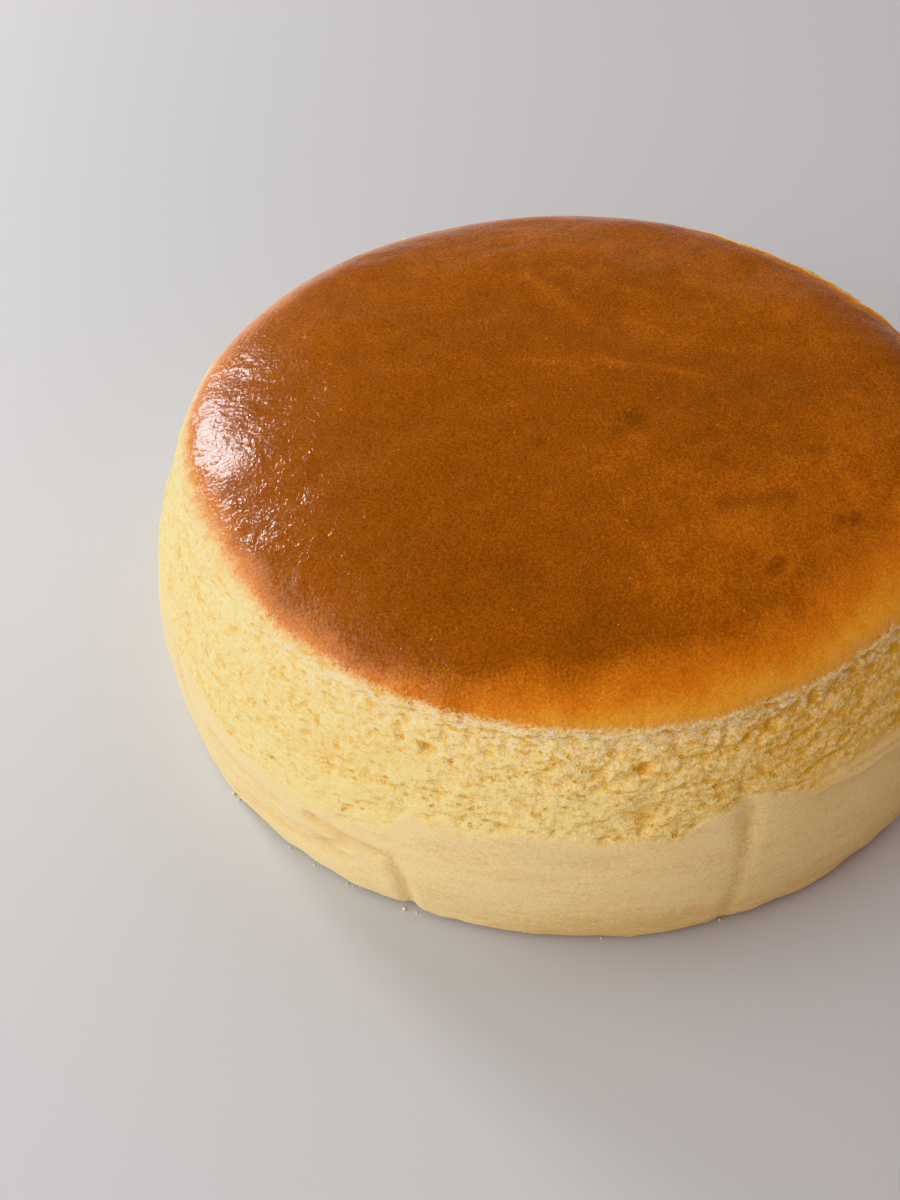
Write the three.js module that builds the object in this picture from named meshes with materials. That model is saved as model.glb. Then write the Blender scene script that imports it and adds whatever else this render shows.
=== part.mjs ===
// Japanese soufflé cheesecake from a 20 cm round tin, whole and uncut: one solid.
// Millimetres, +Z up. The origin is the centre of the flat base, on the surface that the cake
// rests on, and the front faces -Y. Azimuths are degrees from the front, positive towards +X.
//
// From the foot upwards the side is a smooth baked skin, then sponge that was torn open when
// the tin came off. A baked crust covers the crown and ends in a lip over the torn sponge.

import * as THREE from 'three';
import { mergeVertices } from 'three/addons/utils/BufferGeometryUtils.js';

const { degToRad, euclideanModulo, lerp, smoothstep } = THREE.MathUtils;

// The cake's profile
const BASE_RADIUS = 100;
const FOOT_ROUNDING = 2;
const BELLY_REACH = 7.5; // how far the side curve's control point stands out past the foot
const SHOULDER_RADIUS = 93.4;
const SHOULDER_HEIGHT = 58.1;
const HEIGHT = 77;
const CROWN_POWER = 2.4; // 2 would be an elliptical crown, more is flatter with a tighter edge

// Lines round the side, each as [azimuth, height] in order
const TEAR_LINE = [
  [-166, 29], [-140, 33], [-118, 27], [-92, 29], [-70, 32], [-54, 29], [-46, 24.6],
  [-33, 24], [-22, 26], [-18, 33.8], [-5, 35.4], [13, 34.8], [20, 38.5], [24, 41.4],
  [34, 36.6], [50, 35.5], [72, 33], [98, 29], [124, 33], [150, 37],
];
const CRUST_EDGE = [
  [-120, 63.5], [-70, 65], [-30, 63.6], [-12, 61.6], [-4, 60], [12, 61.2], [30, 61.3],
  [46, 62.3], [90, 61], [140, 62],
];
const TEAR_RAGGEDNESS = 0.9;
const CRUST_RAGGEDNESS = 0.5;

// Relief, measured out from the profile
const SKIN_STEP = 0.2; // how far the skin stands out from the torn sponge
const LIP_STEP = 1.3; // how far the crust's lip stands out from the sponge under it
const LIP_REACH = 4; // how far down the side the hollow under the lip fades out
const FOOT_UNEVENNESS = 0.4;
const CRAG_HEIGHT = 0.55;
const PIT_COUNT = 120;
const PIT_SEED = 20;
const PIT_SIZE = { least: 1.2, most: 2.6, width: 1.5, depth: 0.4 }; // width and depth of 1 size

// Creases in the skin: [azimuth, height] points, half width, depth
const CREASES = [
  { path: [[22.6, 44], [22.9, 30], [21.4, 12], [21, 0]], width: 3.2, depth: 1.5 },
  { path: [[-32, 22], [-26, 20.3], [-20.5, 19.6], [-19, 13], [-18.6, 0]], width: 1.6, depth: 1.1 },
  { path: [[-64, 30], [-58, 17], [-46, 10.5], [-34, 10], [-27, 13]], width: 1.8, depth: 0.7 },
  { path: [[-52, 21], [-46, 20], [-38, 19]], width: 1.3, depth: 0.9 },
  { path: [[112, 40], [111, 20], [113, 0]], width: 3, depth: 1.2 },
  { path: [[-128, 30], [-120, 22], [-104, 19], [-92, 21]], width: 1.8, depth: 0.9 },
  { path: [[172, 38], [174, 16], [172, 0]], width: 2.6, depth: 1 },
];

// Grooves torn along the sponge, in the same form
const GROOVES = [
  { path: [[-37, 37.6], [-30, 42], [-25, 43.6]], width: 1.4, depth: 0.8 },
  { path: [[-24, 41.3], [-20, 42], [-17.5, 40.3]], width: 1.5, depth: 1 },
  { path: [[-25, 33], [-19, 35.7], [-11, 38.6], [-2, 38]], width: 1.3, depth: 0.8 },
  { path: [[4, 48], [10, 53], [14, 54.6], [23, 54.4], [31, 57.6]], width: 1.5, depth: 0.9 },
  { path: [[88, 46], [99, 49], [108, 47]], width: 1.5, depth: 0.9 },
  { path: [[150, 50], [161, 52], [172, 51]], width: 1.4, depth: 0.8 },
  { path: [[-150, 44], [-141, 47], [-133, 46]], width: 1.4, depth: 0.8 },
  { path: [[-112, 48], [-104, 50], [-97, 48]], width: 1.4, depth: 0.8 },
];

// The roll of sponge that sags over the skin on the right
const ROLL = { from: 28, full: 38, fade: 72, to: 86, height: 1.4, reach: 6 };

// The crown's small hollow and the slow waves over the crust
const CROWN_HOLLOW = { x: 14, y: -13, radius: 5, depth: 0.7 };
const CROWN_WAVES = [
  { length: 62, direction: 20, height: 0.3 },
  { length: 41, direction: 75, height: 0.25 },
  { length: 27, direction: 130, height: 0.15 },
];

// Mesh
const SEGMENTS = 152;
const BASE_RINGS = [0, 45, 84];
const SKIN_ROWS = 6;
const SPONGE_ROWS = 15;
const CROWN_ROWS = 11;
const EDGE_GAP = 0.4; // height between the rows on either side of a line

// A repeatable random number generator, from 0 to 1.
function seeded(seed) {
  let state = seed >>> 0;
  return () => {
    state = (state + 0x6d2b79f5) >>> 0;
    let mixed = Math.imul(state ^ (state >>> 15), state | 1);
    mixed ^= mixed + Math.imul(mixed ^ (mixed >>> 7), mixed | 61);
    return ((mixed ^ (mixed >>> 14)) >>> 0) / 4294967296;
  };
}

// Degrees from b to a, the short way round.
const turn = (a, b) => euclideanModulo(a - b + 180, 360) - 180;

// Height of a closed line round the side at an azimuth.
function lineHeight(line, azimuth) {
  const [first] = line;
  const closed = [...line, [first[0] + 360, first[1]]];
  const at = first[0] + euclideanModulo(azimuth - first[0], 360);
  const next = closed.findIndex(([to]) => to > at);
  const [[from, low], [to, high]] = [closed[next - 1], closed[next]];
  return lerp(low, high, smoothstep(at, from, to));
}

// An uneven edge: waves whose counts round the cake share no factor.
function ragged(azimuth, shift) {
  const angle = degToRad(azimuth);
  return [17, 29, 43, 61].reduce(
    (sum, count, i) => sum + Math.sin(count * angle + shift * (i + 1)) / (1 + i / 2),
    0,
  ) / 2;
}

const tearHeight = (azimuth) =>
  lineHeight(TEAR_LINE, azimuth) + TEAR_RAGGEDNESS * ragged(azimuth, 2.1);
const crustHeight = (azimuth) =>
  lineHeight(CRUST_EDGE, azimuth) + CRUST_RAGGEDNESS * ragged(azimuth, 0.7);

// Profile: a bezier side whose height runs evenly, then a superellipse crown.
const side = new THREE.QuadraticBezierCurve(
  new THREE.Vector2(BASE_RADIUS, 0),
  new THREE.Vector2(BASE_RADIUS + BELLY_REACH, SHOULDER_HEIGHT / 2),
  new THREE.Vector2(SHOULDER_RADIUS, SHOULDER_HEIGHT),
);

function radiusAt(height) {
  if (height > SHOULDER_HEIGHT) {
    const up = Math.min((height - SHOULDER_HEIGHT) / (HEIGHT - SHOULDER_HEIGHT), 1);
    return SHOULDER_RADIUS * (1 - up ** CROWN_POWER) ** (1 / CROWN_POWER);
  }
  const tucked = Math.max(1 - height / FOOT_ROUNDING, 0);
  const rounding = FOOT_ROUNDING * (1 - Math.sqrt(1 - tucked ** 2));
  return side.getPoint(height / SHOULDER_HEIGHT).x - rounding;
}

function heightAt(radius) {
  const out = Math.min(radius / SHOULDER_RADIUS, 1);
  const rise = (1 - out ** CROWN_POWER) ** (1 / CROWN_POWER);
  return SHOULDER_HEIGHT + (HEIGHT - SHOULDER_HEIGHT) * rise;
}

// How far a point on the side lies from a path over it, in millimetres.
function distanceToPath(path, azimuth, height) {
  const [[start]] = path;
  const across = (to) => degToRad(turn(start, azimuth) + to - start) * BASE_RADIUS;
  const flat = path.map(([to, level]) => new THREE.Vector3(across(to), level - height, 0));
  const origin = new THREE.Vector3();
  const nearest = new THREE.Vector3();
  const distances = flat.slice(1).map((end, i) => {
    new THREE.Line3(flat[i], end).closestPointToPoint(origin, true, nearest);
    return nearest.length();
  });
  return Math.min(...distances);
}

function carvedRelief(lines, azimuth, height) {
  return lines.reduce((sum, { path, width, depth }) => {
    const near = distanceToPath(path, azimuth, height) / width;
    return sum - depth * Math.exp(-near * near);
  }, 0);
}

function rollRelief(azimuth, height) {
  const { from, full, fade, to } = ROLL;
  const window = smoothstep(azimuth, from, full) * (1 - smoothstep(azimuth, fade, to));
  const above = height - tearHeight(azimuth);
  return window * ROLL.height * Math.sign(above) * Math.exp(-Math.abs(above) / ROLL.reach);
}

// Pits torn in the sponge, wider than they are high.
const draw = seeded(PIT_SEED);
const pits = Array.from({ length: PIT_COUNT }, () => {
  const azimuth = lerp(-180, 180, draw());
  const height = lerp(tearHeight(azimuth) + 1.5, crustHeight(azimuth) - 2, draw());
  const size = lerp(PIT_SIZE.least, PIT_SIZE.most, draw() ** 2);
  return { azimuth, height, size, width: size * PIT_SIZE.width, depth: size * PIT_SIZE.depth };
});

function pitRelief(azimuth, height) {
  return pits.reduce((sum, pit) => {
    const across = (degToRad(turn(azimuth, pit.azimuth)) * BASE_RADIUS) / pit.width;
    const up = (height - pit.height) / pit.size;
    return sum - pit.depth * Math.max(1 - across * across - up * up, 0);
  }, 0);
}

// The whole cake leans a little out of round.
function outOfRound(azimuth) {
  const angle = degToRad(azimuth);
  return 0.35 * Math.sin(2 * angle + 0.4) + 0.3 * Math.sin(3 * angle) + 0.2 * Math.sin(7 * angle);
}

function crownRelief(x, y) {
  const waves = CROWN_WAVES.reduce((sum, { length, direction, height }, i) => {
    const angle = degToRad(direction);
    const along = (x * Math.cos(angle) + y * Math.sin(angle)) / length;
    return sum + height * Math.sin(2 * Math.PI * along + i);
  }, 0);
  const near = Math.hypot(x - CROWN_HOLLOW.x, y - CROWN_HOLLOW.y) / CROWN_HOLLOW.radius;
  return waves - CROWN_HOLLOW.depth * Math.exp(-near * near);
}

const place = (azimuth, radius, height) => {
  const angle = degToRad(azimuth);
  return new THREE.Vector3(radius * Math.sin(angle), -radius * Math.cos(angle), height);
};

// A point of the side, moved out along the profile's normal by its relief.
function sidePoint(azimuth, height, relief) {
  const slope = (radiusAt(height + 0.1) - radiusAt(Math.max(height - 0.1, 0))) / 0.2;
  const steep = height < FOOT_ROUNDING ? 0 : slope;
  const out = relief / Math.hypot(1, steep);
  return place(azimuth, radiusAt(height) + out + outOfRound(azimuth), height - out * steep);
}

function skinPoint(azimuth, row) {
  const top = tearHeight(azimuth) - EDGE_GAP;
  const height = row === 1 ? FOOT_ROUNDING : lerp(0, top, (row / SKIN_ROWS) ** 1.2);
  const relief = carvedRelief(CREASES, azimuth, height) + rollRelief(azimuth, height);
  const foot = 1 - smoothstep(height, 0, 6);
  return sidePoint(azimuth, height, relief + foot * FOOT_UNEVENNESS * ragged(azimuth, 4.4));
}

function spongePoint(azimuth, row, random) {
  const way = (row + (row % SPONGE_ROWS ? lerp(-0.3, 0.3, random()) : 0)) / SPONGE_ROWS;
  const low = tearHeight(azimuth) + EDGE_GAP;
  const high = crustHeight(azimuth) - EDGE_GAP;
  const height = lerp(low, high, way);
  const skewed = azimuth + (lerp(-0.3, 0.3, random()) * 360) / SEGMENTS;
  const right = 1 - smoothstep(Math.abs(turn(azimuth, 35)), 30, 120);
  const lipDepth = LIP_STEP * lerp(0.15, 1, right);
  const relief =
    -SKIN_STEP -
    CRAG_HEIGHT * lerp(-1, 1, random()) -
    lipDepth * Math.exp((height - high) / LIP_REACH) +
    carvedRelief([...CREASES, ...GROOVES], skewed, height) +
    rollRelief(skewed, height) +
    pitRelief(skewed, height);
  return sidePoint(skewed, height, relief);
}

function crownPoint(azimuth, row) {
  const edge = radiusAt(crustHeight(azimuth));
  const radius = edge * (1 - (row / CROWN_ROWS) ** 1.5);
  const flat = place(azimuth, radius, 0);
  const lip = smoothstep(radius / edge, 0.96, 1) * 0.25 * ragged(azimuth, 1.3);
  const relief = crownRelief(flat.x, flat.y) * smoothstep(edge - radius, 0, 12);
  const moved = place(azimuth, radius + lip + (radius / edge) * outOfRound(azimuth), 0);
  return moved.setZ(heightAt(radius) + relief);
}

// Each row of the lathe is a function from azimuth to a point.
function cakeRows() {
  const random = seeded(7);
  const count = (length, point) => Array.from({ length }, (_, row) => point(row));
  return [
    ...BASE_RINGS.map((radius) => (azimuth) => place(azimuth, radius, 0)),
    ...count(SKIN_ROWS + 1, (row) => (azimuth) => skinPoint(azimuth, row)),
    ...count(SPONGE_ROWS + 1, (row) => (azimuth) => spongePoint(azimuth, row, random)),
    ...count(CROWN_ROWS + 1, (row) => (azimuth) => crownPoint(azimuth, row)),
  ];
}

function cakeGeometry() {
  const rows = cakeRows();
  const profile = rows.map((row) => {
    const point = row(0);
    return new THREE.Vector2(Math.hypot(point.x, point.y), point.z);
  });
  const geometry = new THREE.LatheGeometry(profile, SEGMENTS);
  const position = geometry.getAttribute('position');
  rows.forEach((row, r) => {
    const ring = Array.from({ length: SEGMENTS }, (_, s) => row((s * 360) / SEGMENTS - 180));
    for (let s = 0; s <= SEGMENTS; s += 1) {
      const { x, y, z } = ring[s % SEGMENTS];
      position.setXYZ(s * rows.length + r, x, y, z);
    }
  });
  geometry.deleteAttribute('normal');
  geometry.deleteAttribute('uv');
  const closed = mergeVertices(geometry);
  closed.computeVertexNormals();
  return closed;
}

const cheesecake = new THREE.Mesh(
  cakeGeometry(),
  new THREE.MeshStandardMaterial({ color: 0xe8bc6b, roughness: 0.7, metalness: 0 }),
);
cheesecake.name = 'cheesecake';

const cake = new THREE.Group();
cake.add(cheesecake);

export default cake;
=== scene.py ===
"""A whole Japanese soufflé cheesecake with its loose crumbs, on a pale floor in soft light.

Shapes are worked out in millimetres and written to meshes in metres. Azimuths are degrees
from the front of the cake, which faces -Y, positive towards +X. A point of the cake's skin
is named by its way along the profile: 0 is the middle of the base, 1 the foot, 2 the line
where the baked skin tore off, 3 the crust's edge and 4 the middle of the crown.
"""

import math

import bmesh
import bpy
import numpy as np
from bpy.props import FloatProperty, FloatVectorProperty, IntProperty, PointerProperty
from mathutils import Matrix, Vector, noise


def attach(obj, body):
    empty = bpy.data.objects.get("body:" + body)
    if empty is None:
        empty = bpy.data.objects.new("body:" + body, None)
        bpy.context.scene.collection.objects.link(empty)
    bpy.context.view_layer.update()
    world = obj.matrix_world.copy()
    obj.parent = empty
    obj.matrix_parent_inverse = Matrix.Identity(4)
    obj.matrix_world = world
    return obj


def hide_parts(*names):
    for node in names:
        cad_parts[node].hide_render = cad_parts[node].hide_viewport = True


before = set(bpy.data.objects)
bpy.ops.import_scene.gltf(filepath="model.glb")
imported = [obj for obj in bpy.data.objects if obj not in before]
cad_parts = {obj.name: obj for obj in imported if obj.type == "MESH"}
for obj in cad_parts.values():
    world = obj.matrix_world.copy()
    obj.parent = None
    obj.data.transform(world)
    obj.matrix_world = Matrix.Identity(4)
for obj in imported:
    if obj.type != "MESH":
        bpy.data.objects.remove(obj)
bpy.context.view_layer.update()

bl_info = {
    "name": "Soufflé cheesecake",
    "version": (1, 0, 0),
    "blender": (4, 5, 0),
    "location": "View3D > Sidebar > Cheesecake",
    "description": "A whole soufflé cheesecake with its crumbs and a soft studio",
    "category": "Add Mesh",
}

MM = 0.001
NODE = "cheesecake"
BODY = "root"
# What the material reads at each vertex
VALUES = ("hollow", "foam", "brown", "crust", "skin", "torn", "film", "leather")

# Lines round the side as (azimuth, height), closed from the last point to the first
TEAR_LINE = (
    (-166, 29), (-140, 33), (-118, 27), (-92, 29), (-70, 32), (-54, 29), (-46, 24.6),
    (-33, 24), (-22, 26), (-18, 33.8), (-5, 35.4), (13, 34.8), (20, 38.5), (24, 41.4),
    (34, 36.6), (50, 35.5), (72, 33), (98, 29), (124, 33), (150, 37),
)
CRUST_EDGE = (
    (-120, 61.5), (-90, 60.6), (-70, 60.8), (-50, 61), (-38, 60.3), (-20, 59.5), (-4, 59.6),
    (12, 60.6), (30, 61.3), (46, 62.3), (90, 61), (112, 63.8), (124, 66), (138, 67),
    (152, 67), (166, 64), (180, 62.2),
)
TEAR_RAGGEDNESS = 0.9
CRUST_RAGGEDNESS = 0.5
TORN_EDGE = 0.45  # fine raggedness of both edges
RAGGED_COUNTS = (17, 29, 43, 61)

# Stretches round the cake as (middle, degrees from it that are full, degrees where it ends)
ROUGH_SIDE = (35, 30, 120)  # the sponge is roughest
# Painted shade: the sponge is deeper yellow on the right, the side away from the lights
SHADED_SIDE = (95, 62, 97)  # the sponge is deeper yellow
PALE_SIDE = (-20, 10, 34)  # the sponge is paler near the skin
# Painted shade: on these two stretches the skin is darker towards the foot
FOOT_SHADE_SIDE = (95, 85, 125)  # the skin is darker towards the foot
FOOT_SHADE_FRONT = (7, 6, 20)
LEATHER_SIDE = (-75, 20, 85)  # the crust is finely wrinkled
BACK_RIGHT = (138, 18, 36)  # sponge shows above the crown's rim

# Relief of the side, measured out from the profile
SKIN_STEP = 0.2
LIP_HOLLOW = 1.8
LIP_REACH = 4
LIP_ROUNDING = 1.6
FOOT_UNEVENNESS = 0.4
FOOT_GAP, FOOT_GAP_DEPTH = 1, 4  # the gap under the outermost rim of the foot
FOAM_REACH = 4.5  # how far the pale broken foam reaches down from the crust's edge
PIT_SEED = 20
PIT_LEAST, PIT_MOST = 1.2, 2.6
PIT_SHAPE = (1.5, 1, 0.2)  # half width, half height and depth of a pit of size 1
PROUD_PIT_SHAPE = (1.6, 1.1, 0.75)  # the same for the pits that stand out

# Creases in the skin: (azimuth, height) points, half width, depth
CREASES = (
    (((22.6, 44), (23, 33)), 2.6, 0.8),
    (((23, 33), (22.3, 18), (21.2, 0)), 1.6, 0.45),
    (((-32, 22), (-26, 20.3), (-20.5, 19.6), (-19, 13), (-18.6, 0)), 1.6, 1.1),
    (((-64, 30), (-58, 17), (-46, 10.5), (-34, 10), (-27, 13)), 1.8, 1),
    (((-52, 21), (-46, 20), (-38, 19)), 1.3, 1.2),
    (((-90, 26), (-76, 19), (-66, 13), (-57, 9)), 2.2, 0.9),
    (((-82, 33), (-69, 26), (-60, 22.5)), 1.5, 0.9),
    (((-31.7, 21.7), (-29.8, 21.1), (-27, 20.2)), 0.9, 0.7),
    (((-48, 5), (-41, 9), (-35, 9.5), (-31, 13), (-26.6, 18.3)), 1.2, 0.9),
    (((-44, 15.6), (-36, 14.6), (-28, 16.4)), 1.2, 0.7),
    (((-29, 25.4), (-20, 26), (-8, 27.4)), 0.9, 0.5),
    (((-18, 22.4), (-8, 23.4), (3, 25)), 1, 0.35),
    (((-16, 29), (-8, 31), (0, 30.4), (8, 31.2)), 1.4, 0.4),
    (((33, 40.2), (42, 40.9), (52, 40.3)), 0.6, 0.5),
    (((37, 38.8), (46, 38.1), (57, 38.4)), 0.5, 0.4),
    (((40, 42.4), (49, 42.2), (60, 43)), 0.6, 0.45),
    (((112, 40), (111, 20), (113, 0)), 3, 1.2),
    (((-128, 30), (-120, 22), (-104, 19), (-92, 21)), 1.8, 0.9),
    (((172, 38), (174, 16), (172, 0)), 2.6, 1),
)
# Narrow grooves torn along the sponge, in the same form
GROOVES = (
    (((-37, 37.6), (-30, 42), (-25, 43.6)), 0.8, 0.9),
    (((-24, 41.3), (-20, 42), (-17.5, 40.3)), 0.9, 1.2),
    (((-25, 33), (-19, 35.7), (-11, 38.6), (-2, 38)), 0.7, 0.8),
    (((-43, 24.4), (-37, 24.8), (-34, 23.5)), 0.8, 1),
    (((4, 48), (10, 53), (14, 54.6), (19, 53.2), (23, 54.4), (27, 56.2), (31, 57.6)), 0.8, 1),
    (((-9, 48.8), (-3, 51), (1, 50)), 0.7, 0.7),
    (((36, 47), (42, 49), (49, 48)), 0.8, 0.8),
    (((27, 50.5), (34, 52.5), (42, 54), (52, 54.5)), 0.7, 0.8),
    (((31, 43.5), (38, 45), (46, 44.5), (55, 45.5)), 0.7, 0.8),
    (((35, 56.5), (41, 58), (50, 58.3)), 0.6, 0.7),
    (((88, 46), (99, 49), (108, 47)), 0.9, 1),
    (((150, 50), (161, 52), (172, 51)), 0.8, 0.9),
    (((-150, 44), (-141, 47), (-133, 46)), 0.8, 0.9),
    (((-112, 48), (-104, 50), (-97, 48)), 0.8, 0.8),
)
# Pits that stand out: (azimuth, height, size)
PITS = (
    (-27.5, 57.3, 0.9), (-28.7, 39.9, 1.1), (-16.2, 52.2, 1.6), (-14.6, 56, 1.3),
    (-19.7, 57.3, 1.1), (-22.2, 56, 0.9), (-23.9, 43.2, 0.9), (-11.4, 43, 0.9),
    (-48.5, 21.6, 1), (-45.6, 20.7, 0.9), (4.9, 52, 1.4), (10.4, 53, 1.5), (14.5, 58.3, 1.1),
    (14, 56.3, 1), (26.8, 56.4, 1.6), (39.8, 60, 1.5), (-6.1, 37.4, 1.2), (-0.1, 38.2, 1),
    (5.4, 36.6, 1.1), (10, 38.6, 1), (25.2, 47.1, 0.8), (33, 58.4, 1.2), (44, 58.6, 1.3),
    (40, 61.4, 1.8), (43.4, 61.6, 1.4), (36.5, 57.4, 1.2), (23.4, 54.9, 1.1), (20.2, 54.7, 1),
    (30.2, 61.4, 0.9), (-33, 45.5, 1), (-28.4, 45.7, 0.9), (-25.9, 30.8, 1.1),
    (-27, 27, 0.9), (-38, 43.8, 0.9), (-37.4, 26.6, 1), (-34, 51, 1), (-42, 38, 1),
    (-38, 33, 1.1), (-50, 45, 1), (-31, 34.5, 1), (-46, 52, 0.9),
)
# The roll of sponge that sags over the skin on the right: the azimuths where it begins, is
# full, fades and ends
ROLL_WINDOW = (28, 38, 72, 86)
ROLL_HEIGHT = 1.4
ROLL_REACH = 6

# The crown's hollow as (x, y, reach, depth), its slow waves as (length, direction, height),
# and its creases, raised streaks and patches as (points, half width, height, how much darker).
# The raised streaks are lighter, a painted sheen.
CROWN_HOLLOW = (14, -13, 5, 0.7)
CROWN_WAVES = ((62, 20, 0.3), (41, 75, 0.25), (27, 130, 0.15))
CROWN_MARKS = (
    (((14.3, -13.2), (13.6, -12.4)), 2.6, 0, 0.16),
    (((10.8, -17.3), (10.2, -17.1)), 1.2, -0.05, 0.1),
    (((31, -39.6), (38, -38), (47.3, -34.5)), 1.5, -0.12, 0.08),
    (((57.7, -39.9), (62.2, -37.5)), 0.9, -0.12, 0.14),
    (((42, -56.2), (44.1, -54.4)), 1.2, -0.1, 0.14),
    (((-12.8, -56.5), (-10.5, -57)), 0.9, -0.08, 0.1),
    (((-11.3, -21.7), (-5.7, -21.5)), 0.6, -0.1, 0.12),
    (((32.6, -25.5), (34, -25)), 1, -0.06, 0.1),
    (((53.9, -19.2), (55, -18.6)), 1.2, -0.06, 0.1),
    (((-13, 45.3), (-4, 33), (3.5, 24.7)), 2.2, 0.16, -0.05),
    (((-10.2, 7.7), (10.7, 6.6), (29.2, 4.2)), 2, 0.16, -0.05),
    (((9.5, 38.7), (18.1, 37.1)), 1.8, 0.12, -0.04),
    (((30, 46), (42, 38), (52, 33)), 2.2, 0.14, -0.02),
    (((48, 20), (60, 12), (66, 3)), 2, 0.12, -0.02),
    (((-40, -20), (-30, -31)), 1.6, 0.08, -0.02),
    (((-30, 58), (-18, 63)), 1.4, -0.1, 0.06),
    (((14, -26), (33, -40)), 10, 0, -0.03), (((19, 24), (24, 17)), 11, 0, -0.05),
    (((58, 12), (59, 9)), 9, 0, 0.04), (((4, 30), (6, 29)), 8, 0, 0.03),
)
MARK_RELIEF = 1.3
MARK_BROWNING_AND_SHEEN = 2.2
# Browning: how far in from the crust's edge it is fully brown, its tone at the edge, and how
# late it pales on the way out
BROWN_REACH = (
    (-180, 13), (-120, 13), (-90, 13), (-60, 12), (-45, 9), (-30, 7.5), (-15, 7.5),
    (0, 13), (12, 16), (30, 16), (45, 18), (70, 17), (95, 11), (115, 7), (150, 6),
    (170, 10),
)
RIM_TONE = (
    (-180, 0.3), (-120, 0.3), (-90, 0.3), (-60, 0.2), (-50, 0.27), (-40, 0.42),
    (-15, 0.45), (0, 0.3), (15, 0.2), (40, 0.16), (90, 0.14), (115, 0.14), (150, 0.14),
    (170, 0.2),
)
PALING = (
    (-180, 1.1), (-120, 1.5), (-90, 1.6), (-45, 1.6), (-30, 1.4), (-15, 1.2), (0, 1),
    (45, 1), (90, 0.9), (120, 1.1), (150, 1.1),
)
# How far in from its edge the crust fades into the sponge
EDGE_FADE = (
    (-180, 2), (-120, 3), (-90, 3.5), (-70, 6), (-60, 6), (-50, 4.2), (-40, 2.6), (-30, 2),
    (-20, 1.4), (-8, 1.1), (4, 1), (14, 0.8), (90, 1),
)
# How much browner than the middle of the crown its ring is, and where the ring lies
RING_RADIUS, RING_WIDTH = 66, 18
RING_TONE = (
    (-180, -0.14), (-120, -0.05), (-90, 0), (-20, 0.09), (5, 0.06), (20, -0.09),
    (40, -0.17), (90, -0.14), (140, -0.12),
)


def colour(code):
    """Linear colour from a six-figure hex code."""
    parts = [int(code[i : i + 2], 16) / 255 for i in (0, 2, 4)]
    return tuple(c / 12.92 if c < 0.04045 else ((c + 0.055) / 1.055) ** 2.4 for c in parts)


def length(name, description, default):
    """A property in metres from a default in millimetres."""
    return FloatProperty(
        name=name, description=description, default=default * MM, min=0, unit="LENGTH"
    )


def tint(name, description, code):
    """A colour property."""
    return FloatVectorProperty(
        name=name, description=description, default=colour(code), size=3, min=0, max=1,
        subtype="COLOR",
    )


class CakeShape(bpy.types.PropertyGroup):
    """Sizes of the cake."""

    base_radius: length("Base radius", "Radius of the cake where it stands", 100)
    foot_rounding: length("Foot rounding", "Radius of the rounded bottom edge", 2.8)
    belly_reach: length("Belly reach", "How far the side's control point stands out", 7.5)
    shoulder_radius: length("Shoulder radius", "Radius where the crown begins", 93.4)
    shoulder_height: length("Shoulder height", "Height where the crown begins", 58.1)
    height: length("Height", "Height of the crown's middle", 77)
    crown_power: FloatProperty(
        name="Crown power", description="2 is elliptical, more is flatter", default=2.4, min=1
    )
    crag_height: length("Crag height", "Height of the crags in the torn sponge", 0.5)
    cell_depth: length("Cell depth", "Depth of the sponge's open bubbles", 0.5)
    lip_step: length("Lip step", "How far the crust stands out over the sponge", 0.6)
    pit_count: IntProperty(
        name="Pits", description="Larger pits torn in the sponge", default=120, min=0
    )


class CakeFinish(bpy.types.PropertyGroup):
    """Colours of the cake."""

    brown: tint("Crust brown", "The crown where it browned most", "9f5923")
    dark: tint("Crust dark", "Spots that browned further", "84491d")
    orange: tint("Crust orange", "The crust as its browning fades", "dd8538")
    gold: tint("Crust gold", "The crust near its edge", "f5b255")
    pale: tint("Crust pale", "The edge where the crust hardly browned", "ecbe90")
    sponge: tint("Sponge", "Torn sponge", "f8e29c")
    # The ridge colour is also the sponge's painted highlight on its proud crumbs
    ridge: tint("Ridges", "The dry rims of the sponge's bubbles", "feebd0")
    # The hollow colour is also the sponge's painted shade in its pits, creases and shaded side
    hollow: tint("Hollows", "Inside the pits of the sponge", "e6b75f")
    skin: tint("Skin", "The smooth lower side", "f3dda8")
    # The skin shade colour is also the painted shade near the foot and in the creases
    skin_dark: tint("Skin shade", "Darker mottling of the skin", "e5c488")


class Studio(bpy.types.PropertyGroup):
    """Floor, lights and camera."""

    floor: tint("Floor", "The pale surface under the cake", "c2c5cc")
    window: FloatProperty(
        name="Window", description="Power of the window at the back left", default=8,
        unit="POWER",
    )
    glint: FloatProperty(
        name="Glint", description="Power of the window as the glossy crust reflects it",
        default=9.5, unit="POWER",
    )
    soft_light: FloatProperty(
        name="Soft light", description="Power of the large light at the left", default=18,
        unit="POWER",
    )
    front_fill: FloatProperty(
        name="Front fill", description="Power of the weak light in front", default=6.5,
        unit="POWER",
    )
    back_light: FloatProperty(
        name="Back light", description="Power of the weak light behind on the right", default=3.5,
        unit="POWER",
    )
    room: FloatProperty(name="Room", description="Strength of the room's own light", default=0.3)
    lens: FloatProperty(
        name="Lens", description="Focal length", default=49.92, min=1, subtype="DISTANCE_CAMERA"
    )


# ---------------------------------------------------------------- outline and lines


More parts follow.
